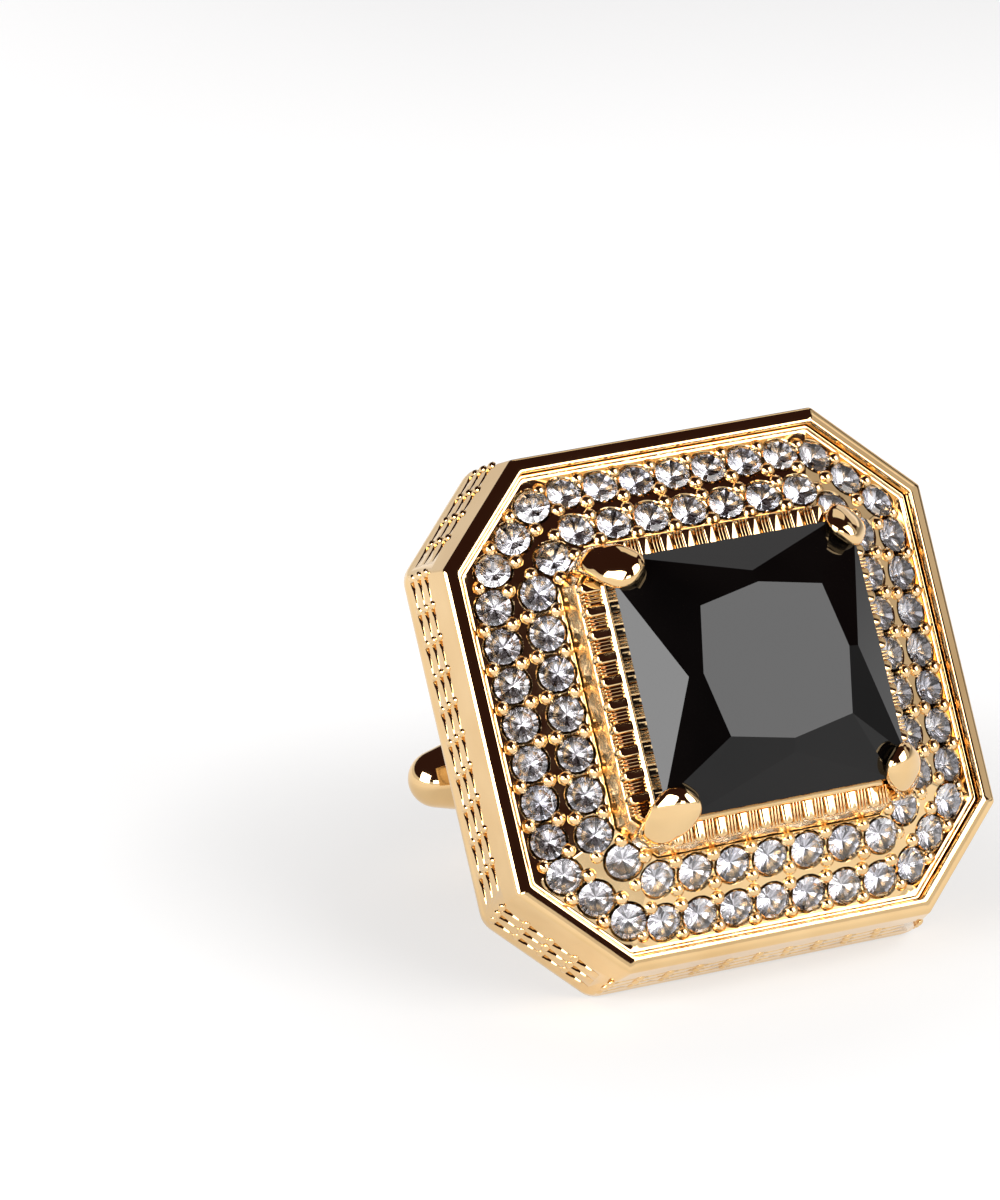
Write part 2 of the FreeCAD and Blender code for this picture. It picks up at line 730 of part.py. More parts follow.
# At rest it stands on the lower edge of its back and on the stem, whichever part of it is lower.
stem_lean = (head_half - arm_outer) / (back - arm_end)
pin_lean = (head_half - arm_outer - pin_head_thick) / (back - pivot + pin_head)
lean = math.atan(min(stem_lean.value, pin_lean.value))
tilt = FreeCAD.Rotation(Vector(1, 0, 0), 90 - math.degrees(lean))
placed = []
for part in parts + claws:
    shape = part.Shape.copy()
    spin = turns.get(part.Name, FreeCAD.Rotation())
    shape.Placement = FreeCAD.Placement(Vector(), tilt.multiply(spin)).multiply(shape.Placement)
    placed.append(shape)
box = Part.makeCompound(placed).optimalBoundingBox(False, False)
floor = Vector(-(box.XMin + box.XMax) / 2, -(box.YMin + box.YMax) / 2, -box.ZMin)

for part in parts + claws:
    spin = turns.get(part.Name, FreeCAD.Rotation())
    part.Placement = FreeCAD.Placement(floor, tilt.multiply(spin))

for item in doc.Objects:
    if "Invalid" in item.State or "Error" in item.State:
        raise RuntimeError(item.Label + " failed")
for part in parts + claws:
    if part.Shape.isNull() or not part.Shape.isValid():
        raise RuntimeError(part.Label + " has no valid shape")

os.makedirs("parts", exist_ok=True)
for part in parts + claws:
    part.Shape.exportStep("parts/" + part.Label + ".step")

rest = FreeCAD.Placement(floor, tilt)
print("size", round(box.XLength, 3), round(box.YLength, 3), round(box.ZLength, 3))
print("lean", round(math.degrees(lean), 4))
print("toggle pivot", rest.multVec(Vector(0, 0, pivot.value)), "axis", tilt.multVec(Vector(0, 1, 0)))
print("back normal", tilt.multVec(Vector(0, 0, -1)))
print("back centre", rest.multVec(Vector(0, 0, back.value)))
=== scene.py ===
import bmesh
import bpy
import json
import math
from mathutils import Matrix, Quaternion, Vector


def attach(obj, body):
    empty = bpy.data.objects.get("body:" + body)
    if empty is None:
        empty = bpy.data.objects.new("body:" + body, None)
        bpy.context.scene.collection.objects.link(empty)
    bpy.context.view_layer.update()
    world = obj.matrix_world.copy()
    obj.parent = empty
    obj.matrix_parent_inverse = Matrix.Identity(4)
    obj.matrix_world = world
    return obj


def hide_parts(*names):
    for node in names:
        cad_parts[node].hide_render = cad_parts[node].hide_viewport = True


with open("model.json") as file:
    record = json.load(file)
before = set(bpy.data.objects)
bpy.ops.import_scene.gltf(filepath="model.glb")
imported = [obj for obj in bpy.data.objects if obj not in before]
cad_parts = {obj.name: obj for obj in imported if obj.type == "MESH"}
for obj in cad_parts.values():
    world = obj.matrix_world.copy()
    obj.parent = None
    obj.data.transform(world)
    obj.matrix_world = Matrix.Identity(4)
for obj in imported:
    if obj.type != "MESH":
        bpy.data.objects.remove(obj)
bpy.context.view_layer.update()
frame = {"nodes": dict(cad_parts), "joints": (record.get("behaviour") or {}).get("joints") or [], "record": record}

# The bench: pieces are modelled in millimetres, lying face up, with x to the right,
# y up the face and z = 0 at the rim. benchToRest takes them to where the frame lies.
headDepth = 3.75        # rim to the flat back
record = frame["record"]
backMount = [m for m in record["mounts"] if m["name"] == "cuff_face"][0]
swivel = frame["joints"][0]
faceUp = Vector(swivel["axis"]).normalized()
faceOut = -Vector(backMount["axis"]).normalized()
faceRight = faceUp.cross(faceOut).normalized()
pivotPoint = Vector(swivel["pos_m"])
backPoint = Vector(backMount["pos_m"])
backCentre = backPoint - faceRight * (backPoint - pivotPoint).dot(faceRight)
rimCentre = backCentre + faceOut * headDepth * 0.001
benchToRest = Matrix.Translation(rimCentre) @ Matrix((
    (faceRight.x, faceUp.x, faceOut.x, 0),
    (faceRight.y, faceUp.y, faceOut.y, 0),
    (faceRight.z, faceUp.z, faceOut.z, 0),
    (0, 0, 0, 1))) @ Matrix.Scale(0.001, 4)
pivotDrop = (pivotPoint - rimCentre).dot(faceOut) * 1000     # toggle's axis under the rim

# Outline of the stone. Every outline of the head is an offset of it.
outline = {"stoneHalf": 5.0, "stoneSide": 4.22, "arcSteps": 4, "arcGuard": 0.03}


def sideAt(half):
    return outline["stoneSide"] + (half - outline["stoneHalf"]) * (math.sqrt(2) - 1)


def cornerAt(half):
    return (half + sideAt(half)) / math.sqrt(2)


# Bench tools
def clearBench():
    if bpy.context.mode != "OBJECT":
        bpy.ops.object.mode_set(mode="OBJECT")
    bpy.ops.object.select_all(action="DESELECT")


def pick(*items):
    clearBench()
    for item in items:
        item.select_set(True)
    bpy.context.view_layer.objects.active = items[0]


def nameIt(name):
    piece = bpy.context.object
    piece.name = name
    piece.data.name = name
    return piece


def octagonLoop(half, z, radius, full=0.0):
    # eight corners, each rounded by a short arc between two close points that keep the long sides flat;
    # full pushes the cut corners out
    steps, guard = outline["arcSteps"], outline["arcGuard"]
    side = sideAt(half) + full * math.sqrt(2)
    corners = [(half, -side), (half, side), (side, half), (-side, half),
               (-half, side), (-half, -side), (-side, -half), (side, -half)]
    turn = math.radians(45)
    reach = radius * math.tan(turn / 2)
    loop = []
    for i in range(8):
        here = Vector(corners[i])
        back = (Vector(corners[i - 1]) - here).normalized()
        on = (Vector(corners[(i + 1) % 8]) - here).normalized()
        inward = (back + on).normalized()
        middle = here + inward * (radius / math.cos(turn / 2))
        first = here + back * reach - middle
        arc = [middle + Matrix.Rotation(turn * k / steps, 2) @ first for k in range(steps + 1)]
        for spot in [arc[0] + back * guard] + arc + [arc[-1] + on * guard]:
            loop.append(Vector((spot.x, spot.y, z)))
    return loop


def circleLoop(radius, count):
    turns = [2 * math.pi * i / count for i in range(count)]
    return [Vector((radius * math.cos(a), radius * math.sin(a), 0)) for a in turns]


def pickOpenEdges():
    bpy.ops.mesh.select_mode(type="EDGE")
    bpy.ops.mesh.select_all(action="DESELECT")
    bpy.ops.mesh.select_non_manifold()


def sweep(name, loops, ends="open"):
    # a circle is drawn, moved on to the first loop and extruded on to each of the others
    clearBench()
    count = len(loops[0])
    bpy.ops.mesh.primitive_circle_add(vertices=count, radius=1, fill_type="NOTHING")
    piece = nameIt(name)
    bpy.ops.object.mode_set(mode="EDIT")
    bm = bmesh.from_edit_mesh(piece.data)
    bm.verts.ensure_lookup_table()
    for i in range(count):
        bm.verts[i].co = loops[0][i]
    bmesh.update_edit_mesh(piece.data)
    order = {i: i for i in range(count)}
    for loop in loops[1:]:
        bpy.ops.mesh.extrude_edges_move()
        bm = bmesh.from_edit_mesh(piece.data)
        bm.verts.index_update()
        newOrder = {}
        for vert in bm.verts:
            if not vert.select:
                continue
            for edge in vert.link_edges:
                old = edge.other_vert(vert)
                if old.index in order:
                    newOrder[vert.index] = order[old.index]
                    vert.co = loop[order[old.index]]
        order = newOrder
        bmesh.update_edit_mesh(piece.data)
    if ends == "joined":
        pickOpenEdges()
        bpy.ops.mesh.bridge_edge_loops()
    if ends == "capped":
        for end in range(2):
            pickOpenEdges()
            bpy.ops.mesh.edge_face_add()
    closeMesh()
    return piece


def closeMesh(merge=0.0005):
    bpy.ops.mesh.select_mode(type="VERT")
    bpy.ops.mesh.select_all(action="SELECT")
    bpy.ops.mesh.remove_doubles(threshold=merge)
    bpy.ops.mesh.normals_make_consistent(inside=False)
    bpy.ops.object.mode_set(mode="OBJECT")


def applyModifier(piece, kind, **settings):
    pick(piece)
    bpy.ops.object.modifier_add(type=kind)
    modifier = piece.modifiers[-1]
    for key, value in settings.items():
        setattr(modifier, key, value)
    bpy.ops.object.modifier_apply(modifier=modifier.name)


def copyTo(piece, place):
    # a copy with its own mesh, moved to its place
    mesh = piece.data.copy()
    mesh.transform(place)
    twin = bpy.data.objects.new(piece.name + "Copy", mesh)
    bpy.context.scene.collection.objects.link(twin)
    return twin


def joinAll(name, items):
    pick(*items)
    if len(items) > 1:
        bpy.ops.object.join()
    return nameIt(name)


def throwAway(piece):
    mesh = piece.data
    bpy.data.objects.remove(piece)
    bpy.data.meshes.remove(mesh)


def camelName(first, words):
    return first + "".join(word.capitalize() for word in words.split("_"))


def seat(piece, body, materials, nodes=(), smooth=30):
    # from the bench to its place at rest
    pick(piece)
    if smooth:
        bpy.ops.object.shade_smooth_by_angle(angle=math.radians(smooth))
    else:
        bpy.ops.object.shade_flat()
    piece.data.transform(benchToRest)
    if not piece.data.materials:
        for material in materials:
            piece.data.materials.append(material)
    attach(piece, body)
    if nodes:
        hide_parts(*nodes)


# Finishes
def newFinish(name):
    finish = bpy.data.materials.new(name)
    finish.use_nodes = True
    nodes = finish.node_tree.nodes
    return finish, nodes, finish.node_tree.links, nodes["Principled BSDF"]


def addNoise(nodes, links, scale, detail):
    spot = nodes.new("ShaderNodeTexCoord")
    noise = nodes.new("ShaderNodeTexNoise")
    noise.inputs["Scale"].default_value = scale
    noise.inputs["Detail"].default_value = detail
    links.new(spot.outputs["Object"], noise.inputs["Vector"])
    return noise.outputs["Fac"]


def addRamp(nodes, links, source, stops):
    ramp = nodes.new("ShaderNodeValToRGB")
    while len(ramp.color_ramp.elements) < len(stops):
        ramp.color_ramp.elements.new(0.5)
    for element, (place, colour) in zip(ramp.color_ramp.elements, stops):
        element.position = place
        element.color = colour
    links.new(source, ramp.inputs["Fac"])
    return ramp.outputs["Color"]


def addSpread(nodes, links, source, low, high, start=0.3, end=0.7):
    spread = nodes.new("ShaderNodeMapRange")
    spread.inputs["From Min"].default_value = start
    spread.inputs["From Max"].default_value = end
    spread.inputs["To Min"].default_value = low
    spread.inputs["To Max"].default_value = high
    links.new(source, spread.inputs["Value"])
    return spread.outputs["Result"]


def addBump(nodes, links, source, strength, distance):
    bump = nodes.new("ShaderNodeBump")
    bump.inputs["Strength"].default_value = strength
    bump.inputs["Distance"].default_value = distance
    links.new(source, bump.inputs["Height"])
    return bump


def addMath(nodes, links, operation, first, second):
    sums = nodes.new("ShaderNodeMath")
    sums.operation = operation
    links.new(first, sums.inputs[0])
    links.new(second, sums.inputs[1])
    return sums.outputs["Value"]


goldLook = {"tones": [(0.30, (0.77, 0.515, 0.245, 1)), (0.70, (0.88, 0.63, 0.335, 1))],
            "cloud": (260.0, 3.0), "wear": (1560.0, 4.0), "waveDetail": 1.0, "waveHigh": 0.0001,
            "wearHigh": 0.00002}


def makeGold(name, roughLow, roughHigh, bump, wavy, waveScale=620.0):
    look = goldLook
    finish, nodes, links, shader = newFinish(name)
    shader.inputs["Metallic"].default_value = 1.0
    cloud = addNoise(nodes, links, *look["cloud"])
    links.new(addRamp(nodes, links, cloud, look["tones"]), shader.inputs["Base Color"])
    wear = addNoise(nodes, links, *look["wear"])
    links.new(addSpread(nodes, links, wear, roughLow, roughHigh), shader.inputs["Roughness"])
    # the plating lies a little uneven over the casting
    wave = addNoise(nodes, links, waveScale, look["waveDetail"])
    uneven = addBump(nodes, links, wave, wavy, look["waveHigh"])
    grain = addBump(nodes, links, wear, bump, look["wearHigh"])
    links.new(uneven.outputs["Normal"], grain.inputs["Normal"])
    links.new(grain.outputs["Normal"], shader.inputs["Normal"])
    return finish


stoneLook = {"tones": [(0.35, (0.0012, 0.0011, 0.0011, 1)), (0.75, (0.0035, 0.0028, 0.0026, 1))],
             "depth": (180.0, 2.0), "polish": (900.0, 3.0), "rough": (0.02, 0.05), "ior": 1.36}


def makeBlackStone():
    look = stoneLook
    finish, nodes, links, shader = newFinish("blackStone")
    shader.inputs["IOR"].default_value = look["ior"]
    depth = addNoise(nodes, links, *look["depth"])
    links.new(addRamp(nodes, links, depth, look["tones"]), shader.inputs["Base Color"])
    polish = addNoise(nodes, links, *look["polish"])
    links.new(addSpread(nodes, links, polish, *look["rough"]), shader.inputs["Roughness"])
    return finish


crystalLook = {"tones": [(0.35, (0.93, 0.95, 1.0, 1)), (0.65, (1.0, 0.99, 0.97, 1))], "tint": (500.0, 1.0),
               "ior": 1.56}


def makeCrystal():
    look = crystalLook
    finish, nodes, links, shader = newFinish("clearCrystal")
    shader.inputs["Transmission Weight"].default_value = 1.0
    shader.inputs["IOR"].default_value = look["ior"]
    shader.inputs["Roughness"].default_value = 0.0
    tint = addNoise(nodes, links, *look["tint"])
    links.new(addRamp(nodes, links, tint, look["tones"]), shader.inputs["Base Color"])
    return finish


# the foil behind the crystals has hardly any colour: its shares of green and blue at the low and high tone
foilLook = {"places": (0.30, 0.70), "green": (0.98, 0.99), "blue": 1.01, "cloud": (900.0, 2.0),
            "rough": (0.15, 0.22)}


def makeFoil(name, *levels):
    look = foilLook
    finish, nodes, links, shader = newFinish(name)
    shader.inputs["Metallic"].default_value = 1.0
    cloud = addNoise(nodes, links, *look["cloud"])
    tones = [(place, (level, level * green, level * look["blue"], 1))
             for place, level, green in zip(look["places"], levels, look["green"])]
    links.new(addRamp(nodes, links, cloud, tones), shader.inputs["Base Color"])
    links.new(addSpread(nodes, links, cloud, *look["rough"]), shader.inputs["Roughness"])
    return finish


# roughness from and to, height of the grain, height of the waves
polishedGold = makeGold("polishedGold", 0.04, 0.08, 0.04, 0.10)
settingGold = makeGold("settingGold", 0.06, 0.13, 0.06, 0.12)
beadGold = makeGold("beadGold", 0.08, 0.18, 0.08, 0.10)
satinGold = makeGold("satinGold", 0.14, 0.24, 0.08, 0.55, 2400.0)
stoneFinish = makeBlackStone()
# the second and third foils are the first one darkened: painted shade in the crystals' rays
crystalFinishes = [makeCrystal(), makeFoil("brightFoil", 0.80, 0.92), makeFoil("foilPaintedHalfShade", 0.50, 0.62),
                   makeFoil("foilPaintedShade", 0.26, 0.36)]
print("finishes made")


# Case: one closed ring, from the ledge down to the back edge, up the wall, over the rim and down inside
caseShape = {"plateHole": 9.48, "plateDeep": 0.6, "head": 10.31, "wallFoot": 10.27, "wallTop": 10.00,
             "lipTop": -3.30, "lipFall": 0.18, "neck": 0.01, "rimFoot": -0.36, "inside": 9.38, "ledge": -1.45,
             "cavity": 8.74, "corner": 0.22, "lipCorner": 0.9, "inCorner": 0.2, "neckSharper": 0.2,
             "fullCorner": 0.24, "step": 0.03, "stepHigh": -1.33, "edge": 0.03, "lipEdge": 0.10,
             "guard": 0.04}
# half width and height, over the rim from the wall to the inside
rimSteps = [(9.985, -0.260), (9.965, -0.209), (9.93, -0.170), (9.87, -0.132), (9.79, -0.093), (9.70, -0.0585),
            (9.60, -0.028), (9.50, -0.003), (9.48, 0.0), (9.44, -0.012), (9.40, -0.06), (9.38, -0.12)]


def wallAt(z):
    # half width of the sloping wall, and how far its cut corners stand out further than the sides
    c = caseShape
    down = (c["rimFoot"] - z) / (c["rimFoot"] - c["lipTop"])
    return c["wallTop"] + (c["wallFoot"] - c["wallTop"]) * down, c["fullCorner"] * down


def makeCase():
    c = caseShape
    back, full, edge, lip = -headDepth, c["fullCorner"], c["edge"], c["lipEdge"]
    # half width, height, corner radius, standing out of the cut corners
    profile = [(half, z, c["inCorner"], 0) for half, z in (
        (c["cavity"], c["ledge"]), (c["cavity"], back + c["plateDeep"]),
        (c["plateHole"], back + c["plateDeep"]), (c["plateHole"], back + edge),
        (c["plateHole"] + edge, back))]
    profile += [(c["head"] - lip, back, c["lipCorner"] - lip, full),
                (c["head"] - edge, back + edge, c["lipCorner"], full),
                (c["head"], back + lip, c["lipCorner"], full),
                (c["head"], c["lipTop"] - c["lipFall"], c["lipCorner"], full),
                (c["head"] - c["neck"], c["lipTop"] - lip, c["lipCorner"] - c["neckSharper"], full)]
    wall = [(c["lipTop"], 0), (c["lipTop"] + c["guard"], 0), (c["stepHigh"] - 2 * edge, c["step"]),
            (c["stepHigh"] - edge, c["step"]), (c["stepHigh"], 0), (c["stepHigh"] + edge, 0),
            (c["rimFoot"] - c["guard"], 0), (c["rimFoot"], 0)]
    profile += [(wallAt(z)[0] - deep, z, c["corner"], wallAt(z)[1]) for z, deep in wall]
    profile += [(half, z, c["corner"], 0) for half, z in rimSteps + [(c["inside"], c["ledge"])]]
    loops = [octagonLoop(half, z, radius, out) for half, z, radius, out in profile]
    return sweep("caseShell", loops, ends="joined")


# Embossing of the case wall: three rows of grooves, each deep and wide where it starts and running out
# along the wall, with a round bump before every start
weave = {"columns": 10, "cornerColumns": 4, "heights": (-2.95, -2.36, -1.77), "above": 0.12, "stagger": 0.08,
         "margin": 0.55, "first": 0.20, "bumpBefore": 0.15, "bumpLong": 0.17, "bumpWide": 0.26,
         "bumpTall": 0.12, "bumpCut": 0.03, "bumpSinks": (0.052, 0.020, 0.016)}
# along, half width at the floor, half width at the wall, depth
grooveSteps = [(0.0, 0.12, 0.17, 0.14), (0.20, 0.09, 0.135, 0.11), (0.40, 0.03, 0.085, 0.055),
               (0.98, 0.008, 0.035, 0.012)]


def makeGroove():
    # x along the wall, y up it, z out of it
    loops = []
    for along, floor, edge, deep in grooveSteps:
        wide = edge + (edge - floor) * weave["above"] / deep
        loops.append([Vector((along, -floor, -deep)), Vector((along, floor, -deep)),
                      Vector((along, wide, weave["above"])), Vector((along, -wide, weave["above"]))])
    return sweep("groove", loops, ends="capped")


def makeBump():
    w = weave
    clearBench()
    bpy.ops.mesh.primitive_uv_sphere_add(segments=10, ring_count=6, radius=1)
    bump = nameIt("bump")
    bpy.ops.object.mode_set(mode="EDIT")
    bpy.ops.mesh.select_all(action="SELECT")
    bpy.ops.transform.resize(value=(w["bumpLong"], w["bumpWide"], w["bumpTall"]))
    cutFacet((0, 0, -w["bumpCut"]), (0, 0, -1))
    bpy.ops.mesh.select_all(action="SELECT")
    bpy.ops.transform.translate(value=(-w["bumpBefore"], 0, 0))
    closeMesh(0.0002)
    return bump


def cutFacet(plane, normal):
    bpy.ops.mesh.select_all(action="SELECT")
    bpy.ops.mesh.bisect(plane_co=plane, plane_no=normal, use_fill=True, clear_outer=True)


def sunkWallAt(z):
    # as wallAt, on the face under the step
    c = caseShape
    half, full = wallAt(z)
    return half - c["step"] * (z - c["lipTop"]) / (c["stepHigh"] - c["lipTop"]), full


def weavePlaces():
    # row of each groove and where it starts: x along the wall, y up it, z out of it
    w = weave
    places = []
    for eighth in range(8):
        for row, height in enumerate(w["heights"]):
            half, full = sunkWallAt(height)
            below, fullBelow = sunkWallAt(height - 1)
            side = sideAt(half) + full * math.sqrt(2)
            if eighth % 2 == 0:
                length, reach, count, drop = 2 * side, half, w["columns"], below - half
            else:
                length, count = math.sqrt(2) * (half - side), w["cornerColumns"]
                reach, drop = cornerAt(half) + full, cornerAt(below) + fullBelow - cornerAt(half) - full
            pitch = (length - w["margin"]) / count
            onWall = (Matrix.Rotation(math.radians(45 * eighth), 4, "Z")
                      @ Matrix.Translation((reach, 0, height)) @ Matrix.Rotation(-math.atan(drop), 4, "Y")
                      @ Matrix(((0, 0, 1, 0), (1, 0, 0, 0), (0, 1, 0, 0), (0, 0, 0, 1))))
            for column in range(count):
                along = column * pitch - length / 2 + w["first"] - (row - 1) * w["stagger"]
                places.append((row, onWall @ Matrix.Translation((along, 0, 0))))
    return places


def cutGrooves(case):
    groove = makeGroove()
    cutter = joinAll("cutter", [copyTo(groove, place) for row, place in weavePlaces()])
    throwAway(groove)
    applyModifier(case, "BOOLEAN", object=cutter, operation="DIFFERENCE", solver="EXACT")
    throwAway(cutter)
    return case


def makeWeave():
    bump = makeBump()
    items = []
    for row, place in weavePlaces():
        items.append(copyTo(bump, place @ Matrix.Translation((0, 0, -weave["bumpSinks"][row]))))
    throwAway(bump)
    return joinAll("caseWeave", items)


seat(cutGrooves(makeCase()), "head", [polishedGold], ["case_shell"], smooth=32)
seat(makeWeave(), "head", [polishedGold], smooth=50)
print("case done")


# Back plate with a softened edge
plateShape = {"half": 9.45, "thick": 0.6, "edge": 0.06, "edgeBend": 0.3, "bevel": 0.1, "corner": 0.2}


def makeBackPlate():
    p = plateShape
    back, bend = -headDepth, p["edge"] * p["edgeBend"]
    profile = [(p["half"] - p["bevel"], back + p["thick"]), (p["half"], back + p["thick"] - p["bevel"]),
               (p["half"], back + p["edge"]), (p["half"] - bend, back + bend), (p["half"] - p["edge"], back)]
    return sweep("backPlate", [octagonLoop(half, z, p["corner"]) for half, z in profile], ends="capped")


seat(makeBackPlate(), "head", [polishedGold], ["back_plate"])


# Places of the crystals, as they sit in the two rows of the sloped frame
pave = {"inner": 6.03, "outer": 9.34, "low": -0.55, "high": 0.99, "slope": 25.0, "edge": 0.9, "thick": 0.95,
        "foot": 0.6, "rowInner": 6.78, "rowOuter": 8.36, "outerSteps": 5, "innerSteps": 4, "seat": 0.685,
        "seatDepth": 0.75, "sinkRadius": 0.79, "sinkDepth": 0.11, "border": -0.38, "outCorner": 0.2,
        "inCorner": 0.1, "slopeFrom": 0.22, "slopeTo": 0.10, "bitAbove": 0.04, "bitEnd": 0.3, "bitSides": 24}
# in from the outer edge and down from the border's top; out from the inner edge and up from its top
borderSteps = [(0.0, 0.03), (0.03, 0.0), (0.08, 0.0), (0.11, 0.02), (0.15, 0.06)]
innerEdgeSteps = [(0.04, 0.02), (0.01, 0.01), (0.0, -0.05)]
cornerNames = ["top_right", "top_left", "bottom_left", "bottom_right"]
sideNames = ["right", "top", "left", "bottom"]


def rowPlaces(half, steps):
    # (name of its group, matrix) in order round the row; local x runs down the slope, z is square to it
    side = sideAt(half)
    leg = (half - side) / math.sqrt(2)
    pitch = (side + leg) / steps
    middle = cornerAt(half) / math.sqrt(2)
    places = []
    for corner in range(4):
        for k in range(steps, -steps, -1):
            along = k * pitch
            over = max(abs(along) - leg, 0)
            x = middle + min(leg, abs(along)) / math.sqrt(2)
            y = middle - min(leg, abs(along)) / math.sqrt(2) - over
            facing = 0 if over > 0 else 45
            if along < 0:
                x, y, facing = y, x, 90 - facing
            if over > 0:
                group = sideNames[corner if along > 0 else (corner + 1) % 4]
            else:
                group = cornerNames[corner]
            places.append((group, slopeMatrix(x, y, facing, corner)))
    return places


def slopeMatrix(x, y, facing, corner):
    turn = math.radians(facing)
    reach = x * math.cos(turn) + y * math.sin(turn)
    edge = cornerAt(pave["outer"]) if facing == 45 else pave["outer"]
    height = pave["low"] + (edge - reach) * math.tan(math.radians(pave["slope"]))
    return (Matrix.Rotation(math.radians(90 * corner), 4, "Z") @ Matrix.Translation((x, y, height))
            @ Matrix.Rotation(turn, 4, "Z") @ Matrix.Rotation(math.radians(pave["slope"]), 4, "Y"))


rows = {"outer": rowPlaces(pave["rowOuter"], pave["outerSteps"]),
        "inner": rowPlaces(pave["rowInner"], pave["innerSteps"])}


def slopeAt(half):
    return pave["low"] + (pave["outer"] - half) * math.tan(math.radians(pave["slope"]))


def makePaveFrame():
    p = pave
    foot, slopeFrom, slopeTo = p["low"] - p["edge"], p["outer"] - p["slopeFrom"], p["inner"] + p["slopeTo"]
    outside = [(p["outer"] - p["foot"], foot), (p["outer"], foot)]
    outside += [(p["outer"] - inward, p["border"] - down) for inward, down in borderSteps]
    outside.append((slopeFrom, slopeAt(slopeFrom)))
    inside = [(slopeTo, slopeAt(slopeTo))]
    inside += [(p["inner"] + outward, p["high"] + up) for outward, up in innerEdgeSteps]
    inside.append((p["inner"], p["high"] - p["thick"]))
    loops = [octagonLoop(half, z, p["outCorner"]) for half, z in outside]
    loops += [octagonLoop(half, z, p["inCorner"]) for half, z in inside]
    plate = sweep("paveFrame", loops, ends="joined")
    # one seat after the other is drilled, each with a sunk edge
    above = p["bitAbove"]
    flare = p["sinkRadius"] + (p["sinkRadius"] - p["seat"]) * above / p["sinkDepth"]
    steps = [(p["seat"], -p["seatDepth"]), (p["seat"], -p["sinkDepth"]), (flare, above),
             (flare, above + p["bitEnd"])]
    loops = [[Vector((v.x, v.y, z)) for v in circleLoop(radius, p["bitSides"])] for radius, z in steps]
    bit = sweep("bit", loops, ends="capped")
    drill = joinAll("drill", [copyTo(bit, place) for row in rows.values() for group, place in row])
    throwAway(bit)
    applyModifier(plate, "BOOLEAN", object=drill, operation="DIFFERENCE", solver="EXACT", use_self=True)
    throwAway(drill)
    return plate


seat(makePaveFrame(), "head", [settingGold], ["pave_frame"], smooth=35)
print("pave frame done")


# Round crystals, cut facet by facet from a short cylinder
# the last entry gives each wedge of the pavilion the bright foil or a foil darkened as painted shade
gem = {"radius": 0.67, "girdle": 0.05, "crown": 0.13, "sides": 16, "bezelTilt": 34.0, "mainTilt": 40.0,
       "lift": 0.02, "turn": 17, "foilBelow": -0.05, "rays": (1, 2, 1, 3, 1, 1, 2, 3, 1, 2, 1, 1, 3, 2, 1, 2)}


def makeCrystalGem():
    g = gem
    clearBench()
    bpy.ops.mesh.primitive_cylinder_add(vertices=g["sides"], radius=g["radius"], depth=2.0)
    stone = nameIt("crystal")
    bpy.ops.object.mode_set(mode="EDIT")
    wedge = 360 / g["sides"]
    flatReach = g["radius"] * math.cos(math.radians(wedge / 2))
    bezelTilt, mainTilt = math.radians(g["bezelTilt"]), math.radians(g["mainTilt"])
    cutFacet((0, 0, g["crown"]), (0, 0, 1))
    for i in range(g["sides"] // 2):
        turn = math.radians(2 * wedge * i + wedge)
        x, y, steep = math.cos(turn), math.sin(turn), math.sin(bezelTilt)
        cutFacet((g["radius"] * x, g["radius"] * y, 0), (x * steep, y * steep, math.cos(bezelTilt)))
    for i in range(g["sides"]):
        turn = math.radians(wedge * i + wedge / 2)
        x, y, steep = math.cos(turn), math.sin(turn), math.sin(mainTilt)
        cutFacet((flatReach * x, flatReach * y, -g["girdle"]), (x * steep, y * steep, -math.cos(mainTilt)))
    closeMesh(0.002)
    for finish in crystalFinishes:
        stone.data.materials.append(finish)
    # behind the clear crown the foil shows in bright rays and in dull and dark rays of painted shade
    for face in stone.data.polygons:
        ray = int(math.degrees(math.atan2(face.center.y, face.center.x)) // wedge) % g["sides"]
        face.material_index = g["rays"][ray] if face.normal.z < g["foilBelow"] else 0
    return stone


def makeCrystals():
    model = makeCrystalGem()
    print("crystal facets", len(model.data.polygons))
    lift = Matrix.Translation((0, 0, gem["lift"]))
    for rowName, row in rows.items():
        groups = {}
        for i, (group, place) in enumerate(row):
            turn = Matrix.Rotation(math.radians(gem["turn"] * i), 4, "Z")
            groups.setdefault(group, []).append(copyTo(model, place @ lift @ turn))
        for group, items in groups.items():
            piece = joinAll(camelName(rowName + "Crystals", group), items)
            seat(piece, "head", crystalFinishes, [rowName + "_crystals_" + group], smooth=0)
    throwAway(model)


makeCrystals()


# Grains raised from the frame, one on each side of every gap between two crystals
bead = {"radius": 0.30, "reach": 0.565, "drop": 0.04, "tall": 0.90, "cut": 0.06}


def makeBeads():
    clearBench()
    bpy.ops.mesh.primitive_uv_sphere_add(segments=12, ring_count=8, radius=bead["radius"])
    model = nameIt("bead")
    bpy.ops.object.mode_set(mode="EDIT")
    bpy.ops.mesh.select_all(action="SELECT")
    bpy.ops.transform.resize(value=(1, 1, bead["tall"]))
    cutFacet((0, 0, -bead["cut"]), (0, 0, -1))
    closeMesh(0.0002)
    items = []
    for row in rows.values():
        for i in range(len(row)):
            here, there = row[i - 1][1], row[i][1]
            spot = (here.translation + there.translation) / 2
            across = (here.to_3x3() @ Vector((1, 0, 0)) + there.to_3x3() @ Vector((1, 0, 0))).normalized()
            up = (here.to_3x3() @ Vector((0, 0, 1)) + there.to_3x3() @ Vector((0, 0, 1))).normalized()
            turned = Matrix((across, up.cross(across), up)).transposed().to_4x4()
            for reach in (bead["reach"], -bead["reach"]):
                place = Matrix.Translation(spot + across * reach - up * bead["drop"]) @ turned
                items.append(copyTo(model, place))
    throwAway(model)
    return joinAll("paveBeads", items)


seat(makeBeads(), "head", [beadGold], smooth=60)
print("crystals and beads done")


